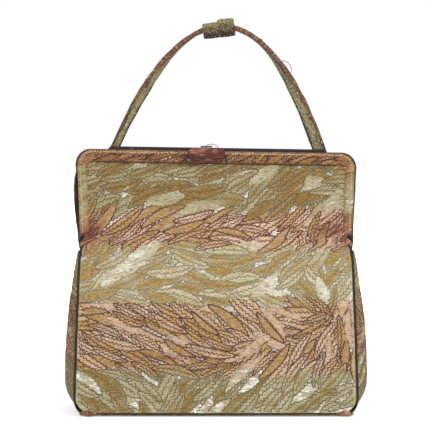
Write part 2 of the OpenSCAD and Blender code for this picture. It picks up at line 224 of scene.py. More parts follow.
def leafForm(leaf, x, z):  # how far a point lies inside a leaf's edge
    lx, lz, angle, length, width, tone, bend = leaf
    p = (x - lx) * math.cos(angle) + (z - lz) * math.sin(angle)
    q = (z - lz) * math.cos(angle) - (x - lx) * math.sin(angle)
    share = np.clip(1 - (2 * p / length) ** 2, 0, 1)
    q = abs(q + bend * (0.6 - share))
    return np.where(share > 0, 0.5 * width * share ** 0.7 - q, leafBed["outside"])


def leafNear(leaf, x, z):  # points that a leaf may reach
    return (abs(x - leaf[0]) < leaf[3] * 0.6) & (abs(z - leaf[1]) < leaf[3] * 0.6)


def leafRise(leaf, z):  # a leaf keeps the band colour of its middle for some way past the band's border
    return np.clip(leaf[1] - z, -leafBed["reach"], leafBed["reach"])


def layLeaves(bed, seed, size=None, above=()):
    rng = np.random.default_rng(seed)
    spots = np.array(bed["lean"], float)
    turn = np.radians(2 * spots[:, 2])
    lowX, highX, lowZ, highZ = bed["area"]
    xs, zs = rng.uniform(lowX, highX, bed["tries"]), rng.uniform(lowZ, highZ, bed["tries"])
    bare = np.ones(bed["tries"], bool)
    for leaf in above:
        bare &= leafForm(leaf, xs, zs) < -0.6
    kept = []
    tones, jitters = rng.uniform(0, 1, bed["tries"]), rng.normal(0, 5, bed["tries"])
    grows = rng.uniform(0.75, 1.2, bed["tries"])
    for x, z, free, tone, jitter, grow in zip(xs, zs, bare, tones, jitters, grows):
        near = 1 / ((spots[:, 0] - x) ** 2 + (spots[:, 1] - z) ** 2 + 30) ** 1.5
        angle = 0.5 * math.atan2((near * np.sin(turn)).sum(), (near * np.cos(turn)).sum())
        angle += math.radians(jitter)
        red = any(a < z < b for a, b in bed["redBands"])
        length, width = [grow * c for c in size or (bed["redSize"] if red else bed["greenSize"])]
        c, s = math.cos(angle), math.sin(angle)
        for k in kept:
            p, q = (x - k[0]) * c + (z - k[1]) * s, (z - k[1]) * c - (x - k[0]) * s
            if (p / (bed["packed"][0] * length)) ** 2 + (q / (bed["packed"][1] * width)) ** 2 < 1:
                free = False
                break
        if free:
            bend = bed["bend"] * width * (-1) ** len(kept)  # each leaf curves a little, one way or the other
            tone = tone ** 0.45 if z < bed["silverBelow"] else tone  # more silver leaves near the base
            kept.append((x, z, angle, length, width, tone, bend))
    return kept


# small leaves fill the gaps from below
leaves = layLeaves(leafBed, leafBed["seed"])
leaves = layLeaves(leafBed, leafBed["seed"] + 1, leafBed["underSize"], leaves) + leaves
print("brocade leaves laid:", len(leaves))


def weaveLeaves(piece, shift=(0, 0)):
    mesh = piece.data
    where = np.zeros((len(mesh.vertices), 2))
    for loop, corner in zip(mesh.loops, mesh.uv_layers["cloth"].data):
        where[loop.vertex_index] = corner.uv
    x, z = where[:, 0] * 1000 + shift[0], where[:, 1] * 1000 + shift[1]
    edges, tones, rises = np.full(len(x), leafBed["outside"]), np.full(len(x), 0.5), np.zeros(len(x))
    for leaf in leaves:
        near = np.flatnonzero(leafNear(leaf, x, z))
        edge = leafForm(leaf, x[near], z[near])
        inside = edge > 0
        outer = np.where(edges[near] < 0, np.maximum(edges[near], edge), edges[near])
        edges[near] = np.where(inside, edge, outer)
        tones[near] = np.where(inside, leaf[5], tones[near])
        rises[near] = np.where(inside, leafRise(leaf, z[near]), rises[near])
    for name, values in (("leafEdge", edges), ("leafTone", tones), ("leafRise", rises)):
        layer = mesh.attributes.new(name, "FLOAT", "POINT")
        layer.data.foreach_set("value", values.astype(np.float32))


def leafLines():  # toothed outlines and veins of the leaves, cut where a later leaf lies over them
    rng = np.random.default_rng(leafBed["seed"] + 1)
    rows = []
    for n, (lx, lz, angle, length, width, tone, bend) in enumerate(leaves):
        for long, side in ((1.0, 1), (1.0, -1), (0.78, 0)):
            count = max(4, round(2 * long * length / leafBed["tooth"]))
            p = np.linspace(-0.5, 0.5, count + 1) * long * length
            p[1:-1] += rng.uniform(-0.3, 0.3, count - 1) * leafBed["tooth"] * 0.5
            share = np.clip(1 - (2 * p / length) ** 2, 0, 1)
            zigzag = (-1.0) ** np.arange(count + 1) * rng.uniform(0.5, 1.2, count + 1)
            tooth = leafBed["toothDeep"] * share ** 0.3 * zigzag
            q = side * 0.5 * width * share ** 0.7 + tooth - bend * (0.6 - share)
            x = lx + p * math.cos(angle) - q * math.sin(angle)
            z = lz + p * math.sin(angle) + q * math.cos(angle)
            if side or 0.12 < tone < leafBed["streak"]:
                rows.append((n, tone, x, z))
    owner = np.concatenate([np.full(len(row[2]), row[0]) for row in rows])
    x, z = np.concatenate([row[2] for row in rows]), np.concatenate([row[3] for row in rows])
    tones = np.concatenate([np.full(len(row[2]), row[1]) for row in rows])
    rises = np.concatenate([leafRise(leaves[row[0]], row[3]) for row in rows])
    hidden = np.zeros(len(x), bool)
    for n, leaf in enumerate(leaves):
        near = np.flatnonzero((owner < n) & leafNear(leaf, x, z))
        hidden[near] |= leafForm(leaf, x[near], z[near]) > -0.2
    runs, at = [], 0
    for row in rows:
        run = []
        for k in range(at, at + len(row[2])):
            if hidden[k]:
                runs.append(run)
                run = []
            else:
                run.append((x[k], z[k], rises[k], tones[k]))
        runs.append(run)
        at += len(row[2])
    return [np.array(run) for run in runs if len(run) > 2]


outlines = leafLines()


def couchThreads(name, lay, out, shift=(0, 0)):
    # low rounded threads on the cloth; lay gives a cloth point's place, or None off the piece
    points, faces, cloth, marks = [], [], [], []
    out = Vector(out)
    for run in outlines:
        line = run[:, :2] - np.array(shift)
        way = np.gradient(line, axis=0)
        way /= np.maximum(1e-6, np.linalg.norm(way, axis=1))[:, None]
        across = np.stack([-way[:, 1], way[:, 0]], axis=1) * leafBed["thread"] / 2
        last = None
        for k in range(len(line)):
            row = [(line[k] + across[k], leafBed["threadLow"]), (line[k], leafBed["threadHigh"]),
                   (line[k] - across[k], leafBed["threadLow"])]
            spots = [lay(*c) for c, rise in row]
            if None in spots:
                last = None
                continue
            first = len(points)
            points += [Vector(spot) + out * rise for spot, (c, rise) in zip(spots, row)]
            cloth += [c for c, rise in row]
            marks += [run[k, 2:]] * 3
            if last is not None:
                faces += [(last, last + 1, first + 1, first), (last + 1, last + 2, first + 2, first + 1)]
            last = first
    mesh = bpy.data.meshes.new(name)
    mesh.from_pydata([v * 0.001 for v in points], [], faces)
    uvMap = mesh.uv_layers.new(name="cloth")
    for loop, corner in zip(mesh.loops, uvMap.data):
        corner.uv = cloth[loop.vertex_index] * 0.001
    for n, layer in enumerate(("leafRise", "leafTone")):
        values = np.array(marks, np.float32)[:, n].copy()
        mesh.attributes.new(layer, "FLOAT", "POINT").data.foreach_set("value", values)
    piece = bpy.data.objects.new(name, mesh)
    bpy.context.collection.objects.link(piece)
    pick(piece)
    bpy.ops.object.mode_set(mode="EDIT")
    bpy.ops.mesh.select_all(action="SELECT")
    bpy.ops.mesh.delete_loose()
    bpy.ops.object.mode_set(mode="OBJECT")
    bpy.ops.object.shade_smooth()
    return piece


# Materials
def toLinear(code):
    parts = [int(code[i:i + 2], 16) / 255 for i in (1, 3, 5)]
    return tuple([c / 12.92 if c <= 0.04045 else ((c + 0.055) / 1.055) ** 2.4 for c in parts] + [1.0])


def addNode(tree, kind, settings=None, links=None):
    node = tree.nodes.new(kind)
    for key, value in (settings or {}).items():
        if isinstance(key, int) or key in node.inputs:
            node.inputs[key].default_value = value
        else:
            setattr(node, key, value)
    for key, source in (links or {}).items():
        tree.links.new(source, node.inputs[key])
    return node


def newMaterial(name):
    material = bpy.data.materials.new(name)
    material.use_nodes = True
    tree = material.node_tree
    tree.nodes.clear()
    surface = addNode(tree, "ShaderNodeBsdfPrincipled")
    addNode(tree, "ShaderNodeOutputMaterial", links={"Surface": surface.outputs["BSDF"]})
    return material, tree, surface


def ramp(tree, source, stops):
    node = addNode(tree, "ShaderNodeValToRGB", links={"Fac": source})
    while len(node.color_ramp.elements) < len(stops):
        node.color_ramp.elements.new(0.5)
    for element, (place, code, strength) in zip(node.color_ramp.elements, stops):
        element.position = place
        element.color = toLinear(code)[:3] + (strength,)
    return node.outputs


def mathNode(tree, operation, *terms):  # each term is a socket or a number
    numbers = {n: term for n, term in enumerate(terms) if isinstance(term, (int, float))}
    sockets = {n: term for n, term in enumerate(terms) if n not in numbers}
    return addNode(tree, "ShaderNodeMath", {"operation": operation, **numbers}, sockets).outputs["Value"]


def mapRange(tree, source, low, high, toLow=0.0, toHigh=1.0):
    settings = {"From Min": low, "From Max": high, "To Min": toLow, "To Max": toHigh}
    return addNode(tree, "ShaderNodeMapRange", settings, {"Value": source}).outputs["Result"]


def mixColours(tree, share, under, over):  # each colour is a socket or a code
    codes = {n: toLinear(colour) for n, colour in ((6, under), (7, over)) if isinstance(colour, str)}
    sockets = {n: colour for n, colour in ((6, under), (7, over)) if n not in codes}
    mix = addNode(tree, "ShaderNodeMix", {"data_type": "RGBA", **codes}, {"Factor": share, **sockets})
    return mix.outputs[2]


def noiseNode(tree, place, scale, detail, rough=0.5):
    settings = {"Scale": scale, "Detail": detail, "Roughness": rough}
    return addNode(tree, "ShaderNodeTexNoise", settings, {"Vector": place}).outputs["Fac"]


def scaled(tree, place, scale):
    return addNode(tree, "ShaderNodeMapping", {"Scale": scale}, {"Vector": place}).outputs["Vector"]


def patches(tree, cloth, size, detail, rough):  # noise in patches of that length and height in m
    return noiseNode(tree, scaled(tree, cloth, (1 / size[0], 1 / size[1], 1)), 1.0, detail, rough)


def shaded(tree, colour, share):
    links = {0: colour, "Scale": share}
    return addNode(tree, "ShaderNodeVectorMath", {"operation": "SCALE"}, links).outputs["Vector"]


def layerValue(tree, layer):
    return addNode(tree, "ShaderNodeAttribute", {"attribute_name": layer}).outputs["Fac"]


def finishSurface(tree, surface, colour, relief, looks):  # each look is a socket or a number
    height, strength, depth = relief
    bump = addNode(tree, "ShaderNodeBump", {"Strength": strength, "Distance": depth}, {"Height": height})
    for key, look in {"Base Color": colour, "Normal": bump.outputs["Normal"], **looks}.items():
        if isinstance(look, (int, float)):
            surface.inputs[key].default_value = look
        else:
            tree.links.new(look, surface.inputs[key])


# Bands of the brocade: height in mm where each starts, silver gap, leaf, gold core and its share,
# outline and its strength, silver leaf and its share, share of deep red wear
panelBands = [
    (-20, "#b8b49f", "#a79f80", "#8d7136", 0.45, "#5f5636", 0.30, "#d6d2c8", 0.95, 0.0),
    (36, "#b8aca2", "#b99f88", "#ad8850", 0.50, "#431d0c", 0.75, "#481d13", 0.0, 0.0),
    (94, "#c0bcac", "#b3ab90", "#a48443", 0.42, "#766b4a", 0.30, "#cdc9bc", 0.75, 0.0),
    (140, "#cabdb3", "#c5a691", "#b08a56", 0.46, "#4c200f", 0.75, "#532417", 0.0, 0.0),
    (169, "#aba58e", "#9b916e", "#8b6a31", 0.46, "#594d2c", 0.30, "#b4af9b", 0.5, 0.0),
    (213, "#cfab84", "#a98059", "#a27a41", 0.48, "#2a110a", 0.85, "#34160d", 0.0, 0.62),
]
bandReach, bandBlur = 235, 1.4
gussetShadeShares = (0.88, 0.83, 0.70)  # painted shade: the gussets' cloth is made browner and darker, by these shares of red, green and blue


def gussetShadeOf(code):
    parts = [int(code[i:i + 2], 16) for i in (1, 3, 5)]
    return "#" + "".join("%02x" % round(part * share) for part, share in zip(parts, gussetShadeShares))


gussetShadedBands = [tuple(gussetShadeOf(part) if isinstance(part, str) else part for part in band) for band in panelBands]


def bandStops(bands, colour, strength=None):
    stops = []
    for n, band in enumerate(bands):
        start = max(0, band[0] + bandBlur) / bandReach
        end = (bands[n + 1][0] - bandBlur) / bandReach if n + 1 < len(bands) else 1
        stops += [(place, band[colour], band[strength] if strength else 1.0) for place in (start, end)]
    return stops


# Weave of the brocade, in m: the weft floats are a little coarser than the real thread, so that they show
weave = {
    "wander": 0.006, "wanderSize": 0.030, "blotch": (0.020, 0.007), "weft": (0.004, 0.0012), "rib": 0.0012,
    # bare: pale silver of the floats, brightened with painted highlight glints
    "glint": (0.016, 0.0022), "glintTurn": 0.5, "bare": "#ddd8ca", "red": "#6e3426", "twist": 0.0015,
}
# Deep red wear, and painted shade along the soft fold above the base: middle on the cloth in m,
# how its width is squeezed, where it starts and ends to fade, strength
wearAndFoldShadeSpots = [
    ((-0.112, 0.153), 1, 0.004, 0.040, 0.9),  # where the cloth bends at the hinges
    ((0.112, 0.153), 1, 0.004, 0.040, 0.9),
    ((0.110, 0.152), 0.5, 0.003, 0.026, 0.95),  # more of it at the right hinge
    ((-0.0133333, 0.223), 0.3, 0.004, 0.012, 0.9),  # on the rail beside the clasp
    ((-0.035, 0.048), 0.1, 0.001, 0.009, 0.72),  # painted shade along the soft fold above the base
]


def clothPlace(tree):  # the cloth's map, and the share of the way up the bands
    cloth = addNode(tree, "ShaderNodeUVMap", {"uv_map": "cloth"}).outputs["UV"]
    up = addNode(tree, "ShaderNodeSeparateXYZ", links={"Vector": cloth}).outputs["Y"]
    # band borders wander by up to 6 mm over 30 mm
    wander = noiseNode(tree, cloth, 1 / weave["wanderSize"], 5.0, 0.65)
    height = mathNode(tree, "ADD", up, mapRange(tree, wander, 0.0, 1.0, -weave["wander"], weave["wander"]))
    height = mathNode(tree, "MULTIPLY_ADD", layerValue(tree, "leafRise"), 0.001, height)
    return cloth, mapRange(tree, height, 0.0, bandReach / 1000)


def silkBrocade(name, bands):
    # woven silk and metal thread: ribbed across, soft shine on the silver floats, duller on the leaves
    material, tree, surface = newMaterial(name)
    cloth, band = clothPlace(tree)
    edge, tone = [layerValue(tree, layer) for layer in ("leafEdge", "leafTone")]
    silver, leaf = [ramp(tree, band, bandStops(bands, n))["Color"] for n in (1, 2)]
    gold, outline, pale = [ramp(tree, band, bandStops(bands, n, n + 1)) for n in (3, 5, 7)]
    weft = patches(tree, cloth, weave["weft"], 2.0, 0.6)
    dye = patches(tree, cloth, weave["blotch"], 4.0, 0.65)

    # gold shows softly in some leaves and in the dye blotches
    inside = mapRange(tree, edge, -0.3, 0.3)
    gilded = mapRange(tree, tone, 0.60, 0.25, 0.0, 0.75)
    golden = mathNode(tree, "MULTIPLY_ADD", mapRange(tree, edge, 0.0, 2.6), gilded, gold["Alpha"])
    golden = mathNode(tree, "MULTIPLY_ADD", dye, 2.2, golden)
    golden = mathNode(tree, "MULTIPLY_ADD", weft, 2.4, golden)
    fill = mixColours(tree, mapRange(tree, golden, 2.75, 3.25), leaf, gold["Color"])
    ground = mixColours(tree, inside, silver, fill)

    # some leaves of the green bands are woven in silver, worn through in places
    silvered = mathNode(tree, "MULTIPLY", mapRange(tree, tone, 0.84, 0.88), mapRange(tree, dye, 0.48, 0.53))
    silvered = mathNode(tree, "MULTIPLY", silvered, pale["Alpha"])
    ground = mixColours(tree, silvered, ground, pale["Color"])

    # bare silver floats glint in slanting streaks
    turned = {"vector_type": "TEXTURE", "Rotation": (0, 0, weave["glintTurn"]), "Scale": (*weave["glint"], 1)}
    slantPlace = addNode(tree, "ShaderNodeMapping", turned, {"Vector": cloth}).outputs["Vector"]
    slant = noiseNode(tree, slantPlace, 1.0, 3.0, 0.6)
    glint = mapRange(tree, mathNode(tree, "MULTIPLY_ADD", inside, -0.12, slant), 0.50, 0.62, 0.0, 0.75)
    ground = mixColours(tree, glint, ground, weave["bare"])

    # each weft float catches the light differently, and a dyed shade lies beside each outline thread
    shade = mapRange(tree, weft, 0.26, 0.74, 0.30, 1.60)
    shade = mathNode(tree, "MULTIPLY", shade, mapRange(tree, tone, 0.1, 0.8, 0.86, 1.08))
    rim = mathNode(tree, "MULTIPLY", mapRange(tree, edge, 0.4, 1.1, 1.0, 0.0), inside)
    rim = mathNode(tree, "MULTIPLY", rim, outline["Alpha"])
    drawn = mixColours(tree, rim, shaded(tree, ground, shade), outline["Color"])

    # deep red wear, and painted shade in the fold above the base, in slanting streaks
    wearAndFoldShade = ramp(tree, band, bandStops(bands, 1, 9))["Alpha"]
    for (x, z), squeeze, near, far, strength in wearAndFoldShadeSpots:
        middle = {"operation": "DISTANCE", 1: (x * squeeze, z, 0)}
        squeezed = scaled(tree, cloth, (squeeze, 1, 1))
        away = addNode(tree, "ShaderNodeVectorMath", middle, {0: squeezed}).outputs["Value"]
        wearAndFoldShade = mathNode(tree, "MAXIMUM", wearAndFoldShade, mapRange(tree, away, near, far, strength, 0.0))
    wearAndFoldShade = mapRange(tree, mathNode(tree, "MULTIPLY", wearAndFoldShade, slant), 0.22, 0.46)
    drawn = mixColours(tree, wearAndFoldShade, drawn, weave["red"])

    ribs = {"bands_direction": "Y", "Scale": 0.314 / weave["rib"], "Distortion": 0.6}
    rib = addNode(tree, "ShaderNodeTexWave", ribs, {"Vector": cloth}).outputs["Fac"]
    height = mathNode(tree, "MULTIPLY_ADD", rib, 0.35, weft)
    looks = {"Specular IOR Level": 0.35, "Sheen Weight": 0.08, "Sheen Roughness": 0.4}
    looks["Roughness"] = mapRange(tree, inside, 0.0, 1.0, 0.42, 0.66)
    finishSurface(tree, surface, drawn, (height, 0.4, 0.0004), looks)
    return material


def outlineSilk(name, bands):
    # twisted outline thread, dark in the red bands and dull or pale in the green ones
    material, tree, surface = newMaterial(name)
    cloth, band = clothPlace(tree)
    dark, leaf, pale = [ramp(tree, band, bandStops(bands, n))["Color"] for n in (5, 2, 7)]
    dye = patches(tree, cloth, weave["blotch"], 4.0, 0.65)
    pale = mixColours(tree, mapRange(tree, dye, 0.45, 0.58), leaf, pale)
    high = mapRange(tree, ramp(tree, band, bandStops(bands, 7, 8))["Alpha"], 0.88, 0.80)
    streak = mathNode(tree, "GREATER_THAN", layerValue(tree, "leafTone"), leafBed["streak"])
    dyed = mixColours(tree, mathNode(tree, "MULTIPLY", high, streak), dark, pale)
    twist = noiseNode(tree, cloth, 1 / weave["twist"], 2.0)
    dyed = shaded(tree, dyed, mapRange(tree, twist, 0.25, 0.75, 0.75, 1.35))
    finishSurface(tree, surface, dyed, (twist, 0.3, 0.0002), {"Roughness": 0.6, "Specular IOR Level": 0.3})
    return material


# Stripes of the handle's cloth, from the inner edge to the outer one, and of the keepers, from the top down;
# the keepers run from pale on top to near black below, partly their dark lower edge and partly painted shade
strapStripes = [
    (0.0, "#171b12"), (0.14, "#3c3d2b"), (0.28, "#7b7458"), (0.46, "#8f7b4e"), (0.60, "#6a6550"),
    (0.72, "#3c2a1c"), (0.84, "#5d3b2a"), (0.93, "#7d573f"), (1.0, "#5c3828"),
]
keeperStripesAndShade = [
    (0.0, "#7f7750"), (0.28, "#746b45"), (0.44, "#544c34"), (0.57, "#432e1e"), (0.74, "#3a1f15"),
    (0.88, "#1c120b"), (1.0, "#0b0805"),
]
stripeWeave = {"drift": 0.0025, "speck": (0.0010, 0.0016), "glint": "#c9c2ac", "width": 0.010}


def stripedSilk(name, stripes, wander):
    # worn narrow brocade: stripes along the strap that wander, and speckled metal thread
    material, tree, surface = newMaterial(name)
    cloth = addNode(tree, "ShaderNodeUVMap", {"uv_map": "cloth"}).outputs["UV"]
    across = addNode(tree, "ShaderNodeSeparateXYZ", links={"Vector": cloth}).outputs["X"]
    drift = patches(tree, cloth, (stripeWeave["drift"], wander), 4.0, 0.65)
    drift = mapRange(tree, drift, 0.2, 0.8, -0.34, 0.30)
    across = mathNode(tree, "MULTIPLY_ADD", across, 1 / stripeWeave["width"], drift)
    dyed = ramp(tree, across, [(stop, code, 1.0) for stop, code in stripes])["Color"]
    speck = patches(tree, cloth, stripeWeave["speck"], 2.0, 0.6)
    woven = shaded(tree, dyed, mapRange(tree, speck, 0.25, 0.75, 0.25, 1.75))
    lit = mixColours(tree, mapRange(tree, speck, 0.60, 0.70, 0.0, 0.8), woven, stripeWeave["glint"])
    finishSurface(tree, surface, lit, (speck, 0.5, 0.0004), {"Roughness": 0.65, "Specular IOR Level": 0.3})
    return material


def plainCloth(name, colours, pitch, rough, sheen, stretch=(1, 1, 1)):
    # close plain weave: thread ribs both ways and soft blotches of wear, 12 mm across
    material, tree, surface = newMaterial(name)
    place = scaled(tree, addNode(tree, "ShaderNodeTexCoord").outputs["Object"], stretch)
    thread = noiseNode(tree, place, 1 / pitch, 2.0)
    both = mathNode(tree, "ADD", noiseNode(tree, place, 1 / 0.012, 5.0), thread)
    stops = [(stop, code, 1.0) for stop, code in zip((0.0, 0.5, 1.0), colours)]
    dyed = ramp(tree, mapRange(tree, both, 0.65, 1.35), stops)["Color"]
    looks = {"Roughness": rough, "Sheen Weight": sheen}
    finishSurface(tree, surface, dyed, (thread, 0.4, pitch * 0.3), looks)
    return material


def lacqueredSteel(name, lacquer, bare, rough):
    # pressed sheet steel under dark lacquer, rubbed thin in patches of 9 mm
    material, tree, surface = newMaterial(name)
    place = addNode(tree, "ShaderNodeTexCoord").outputs["Object"]
    rub = noiseNode(tree, place, 1 / 0.009, 6.0, 0.65)
    rubbed = mapRange(tree, rub, 0.58, 0.70)
    mixed = mixColours(tree, rubbed, lacquer, bare)
    looks = {"Roughness": mapRange(tree, rub, 0.0, 1.0, rough + 0.12, rough - 0.1)}
    looks["Metallic"] = mapRange(tree, rubbed, 0.0, 1.0, 0.15, 0.9)
    grit = noiseNode(tree, place, 1 / 0.0012, 2.0)
    finishSurface(tree, surface, mixed, (grit, 0.15, 0.0002), looks)
    return material


def seenStraight(tree):  # 1 for what the camera, a reflection or a clear thing sees
    path = addNode(tree, "ShaderNodeLightPath").outputs
    seen = mathNode(tree, "MAXIMUM", path["Is Camera Ray"], path["Is Glossy Ray"])
    return mathNode(tree, "MAXIMUM", seen, path["Is Transmission Ray"])


brocade = silkBrocade("silk_brocade", panelBands)
# the gussets' brocade carries painted shade in its darker bands
gussetShadedBrocade = silkBrocade("gusset_shaded_brocade", gussetShadedBands)
strapSilk = stripedSilk("strap_silk", strapStripes, 0.012)
# the keepers' silk carries painted shade, darker towards their lower side
keeperSilkShaded = stripedSilk("keeper_silk_shaded", keeperStripesAndShade, 0.004)
outlineThread = outlineSilk("outline_silk", panelBands)
pipingCotton = plainCloth("piping_cotton", ("#070a05", "#12180c", "#252b1b"), 0.0009, 0.85, 0.0)
liningSateen = plainCloth("lining_sateen", ("#33392c", "#454b3a", "#565a46"), 0.0008, 0.5, 0.2)
creamThread = plainCloth("cream_thread", ("#a08c68", "#cdbd9a", "#e6dcc2"), 0.0006, 0.7, 0.1)
# dark thread for the rail seam, also used as painted shadow under the rail's edge and under the clasp tab
seamAndShadowThread = plainCloth("seam_and_shadow_thread", ("#140704", "#35170e", "#6b4632"), 0.0008, 0.8, 0.0)
greyThread = plainCloth("grey_thread", ("#3d3528", "#635845", "#8f8570"), 0.0008, 0.8, 0.0)
cornerCloth = plainCloth("corner_cloth", ("#3a2016", "#80593c", "#bd987a"), 0.0020, 0.85, 0.0)
rollSilk = plainCloth("roll_silk", ("#140604", "#55221a", "#a8745e"), 0.0024, 0.85, 0.0, (0.35, 1.8, 1.8))
bindingCloth = plainCloth("binding_cloth", ("#120d08", "#2a2016", "#4d3d2a"), 0.0014, 0.85, 0.0)
greyBoard = plainCloth("grey_board", ("#6d6450", "#857a62", "#978c72"), 0.0010, 0.9, 0.0)
frameSteel = lacqueredSteel("lacquered_steel", "#1c1811", "#5d5138", 0.42)
rivetSteel = lacqueredSteel("rivet_steel", "#5f5a4c", "#a39d8c", 0.35)
print("materials made")


def dress(piece, material, body=None, nodes=()):
    piece.data.materials.clear()
    piece.data.materials.append(material)
    if body:
        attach(piece, body)
    if nodes:
        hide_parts(*nodes)
    return piece


# Front and back cloths
panelCut = {
    "cols": 262, "rows": 240, "low": 3.2, "hem": 1.4, "wrinkle": 0.7,
    "gatherX": 106, "crease": 1.1, "ridge": 0.6, "fold": 1.3, "foldZ": 52,
    "tuck": 6, "tuckZ": 142.5, "lap": 2.4, "lapZ": 146, "drift": 1.5, "driftSize": 60,
}


def panelPlace(side, seed):
    def place(s, t):
        z = between(panelCut["low"], panelTop, t)
        half = panelHalf(z) + panelCut["hem"] * (1 - smooth((z - 128) / 10))
        x = s * (half + panelCut["tuck"] * hump(z, panelCut["tuckZ"], 4))
        free = (1 - s ** 4) * smooth((hingeZ + 58 - z) / 20) * smooth((z - 4) / 14)
        waves = wavy(x, 0, z, 46, seed) + 0.6 * wavy(x, 0, z * 1.6, 21, seed + 5)
        puff = panelCut["wrinkle"] * waves * free
        # the cloth gathers at the hinge line near both arms
        near, inward = hump(abs(x), panelCut["gatherX"], 20), 110 - abs(x)
        puff -= panelCut["crease"] * near * hump(z, 147 + 0.10 * inward, 3.2)
        puff += panelCut["ridge"] * near * hump(z, 138 - 0.12 * inward, 5)
        # and laps over it at both edges
        puff += panelCut["lap"] * smooth((abs(s) - 0.93) / 0.05) * hump(z, panelCut["lapZ"], 3.6)
        # a soft fold runs across above the base
        line = panelCut["foldZ"] + 0.03 * x + 2.5 * wavy(x, 0, 0, 60, seed + 2)
        puff -= panelCut["fold"] * free * smooth((70 - x) / 60) * hump(z, line, 3.6)
        return side * x, -side * (panelFace(x, z) + puff), panelZ(side * x, z)
    return place


def panelCloth(name, side, seed):
    def clothAt(s, t):
        z = between(panelCut["low"], panelTop, t)
        return s * panelHalf(z), z + panelCut["drift"] * wavy(s * 110, 0, z, panelCut["driftSize"], seed)
    return clothGrid(name, panelCut["cols"], panelCut["rows"], panelPlace(side, seed), clothAt)


def panelLay(side, seed):  # from a cloth point to its place on the hung panel
    place = panelPlace(side, seed)

    def lay(x, z):
        z = z - panelCut["drift"] * wavy(x, 0, z, panelCut["driftSize"], seed)
        s, t = x / panelHalf(z), 2 * (z - panelCut["low"]) / (panelTop - panelCut["low"]) - 1
        return place(s, t) if max(abs(s), abs(t)) < 0.995 else None
    return lay


frontSeed, backSeed, backShift = 3.1, 8.4, (14, -3)
frontCloth = panelCloth("front_cloth", 1, frontSeed)
weaveLeaves(frontCloth)
dress(frontCloth, brocade, nodes=["front_panel_upper", "front_panel_lower"])
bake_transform(frontCloth)
frontThreads = couchThreads("front_outline_threads", panelLay(1, frontSeed), (0, -1, 0))
dress(frontThreads, outlineThread)
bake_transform(frontThreads)

backCloth = panelCloth("back_cloth", -1, backSeed)
weaveLeaves(backCloth, shift=backShift)
dress(backCloth, brocade, "bag", ["back_panel"])
backThreads = couchThreads("back_outline_threads", panelLay(-1, backSeed), (0, 1, 0), shift=backShift)
dress(backThreads, outlineThread, "bag")
print("panels hung")

# Gussets: one cloth below the hinge and a wing folded in between the arms
gussetCut = {
    "cols": 60, "rows": 110, "low": 1.8, "top": 142, "wrinkle": 0.6, "half": 34, "along": 8, "down": 9,
    "wingCols": 40, "wingRows": 44, "wingLow": 133, "wingTop": 196, "wingHalf": 26, "wingTuck": 0.7,
}


def gussetPlace(side, low, top, tuck):
    def place(s, t):
        z = between(low, top, t)
        y = s * (seamY(z) - 2.1 + 1.6 * (1 - smooth((z - 126) / 12)))
        waves = wavy(0, y, z, 30, 4 + side) + 0.5 * wavy(0, y * 1.4, z, 14, 9 + side)
        puff = gussetCut["wrinkle"] * waves * (1 - s * s) * smooth((z - 6) / 20)
        return side * (gussetFace(y, z) + puff * (z < 130) - tuck), side * y, z
    return place


def gussetMap(low, top, half, along=0):
    def clothAt(s, t):
        return along + s * half, between(low, top, t) - gussetCut["down"]
    return clothAt


def gussetLay(side, place):  # from a cloth point to its place on the gusset
    def lay(x, z):
        s = (x - side * gussetCut["along"]) / gussetCut["half"]
        t = 2 * (z + gussetCut["down"] - gussetCut["low"]) / (gussetCut["top"] - gussetCut["low"]) - 1
        return place(s, t) if max(abs(s), abs(t)) < 0.97 else None
    return lay


for side, word in ((1, "right"), (-1, "left")):
    shift = (40 * side, 4)
    lowPlace = gussetPlace(side, gussetCut["low"], gussetCut["top"], 0)
    lowAt = gussetMap(gussetCut["low"], gussetCut["top"], gussetCut["half"], side * gussetCut["along"])
    gusset = clothGrid("gusset_" + word + "_cloth", gussetCut["cols"], gussetCut["rows"], lowPlace, lowAt)
    weaveLeaves(gusset, shift=shift)
    dress(gusset, gussetShadedBrocade, "bag", ["gusset_" + word])
    lowLay = gussetLay(side, lowPlace)
    threads = couchThreads("gusset_" + word + "_threads", lowLay, (side, 0, 0), shift=shift)
    dress(threads, outlineThread, "bag")

    wingPlace = gussetPlace(side, gussetCut["wingLow"], gussetCut["wingTop"], gussetCut["wingTuck"])
    wingAt = gussetMap(gussetCut["wingLow"], gussetCut["wingTop"], gussetCut["wingHalf"])
    wing = clothGrid("gusset_" + word + "_wing", gussetCut["wingCols"], gussetCut["wingRows"],
                     wingPlace, wingAt)
    weaveLeaves(wing, shift=shift)
    dress(wing, brocade)
    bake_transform(wing)
print("gussets folded")

# Piping down the side seams and along the base
pipingCut = {"r": 1.1, "z": 2.2, "top": 141}


def pipingPath(side):
    heights = [pipingCut["top"] + (8 - pipingCut["top"]) * n / 48 for n in range(49)] + [5.4, 3.4]
    right = [(seamX(z) + 0.25 * wavy(z, 0, 0, 18, 2), -seamY(z), z) for z in heights]
    run = seamX(pipingCut["z"]) - 4
    base = []
    for n in range(41):
        x = -run + 2 * run * n / 40
        y = foot(pipingCut["z"], cut["panelFoot"]) - panelFace(x, cut["panelLow"])
        base.append((x, y, pipingCut["z"] + 0.3 * wavy(x, 0, 0, 30, 7)))
    whole = [(-x, y, z) for x, y, z in right] + base + right[::-1]
    return [(x, side * y, z, 0.5 + 0.5 * smooth((z - 5) / 14)) for x, y, z in whole]


for side, word in ((1, "front"), (-1, "back")):
    piping = threadTube("piping_" + word + "_cord", pipingPath(side), pipingCut["r"], sides=4)
    dress(piping, pipingCotton, "bag", ["piping_" + word])
print("piping sewn")

# Base cloth, a flat slab with soft edges, and folded corner tips
baseCut = {"halfX": 103, "halfY": 33.4, "top": 2.0, "flatX": 0.985, "flatY": 0.96, "wave": 0.12}


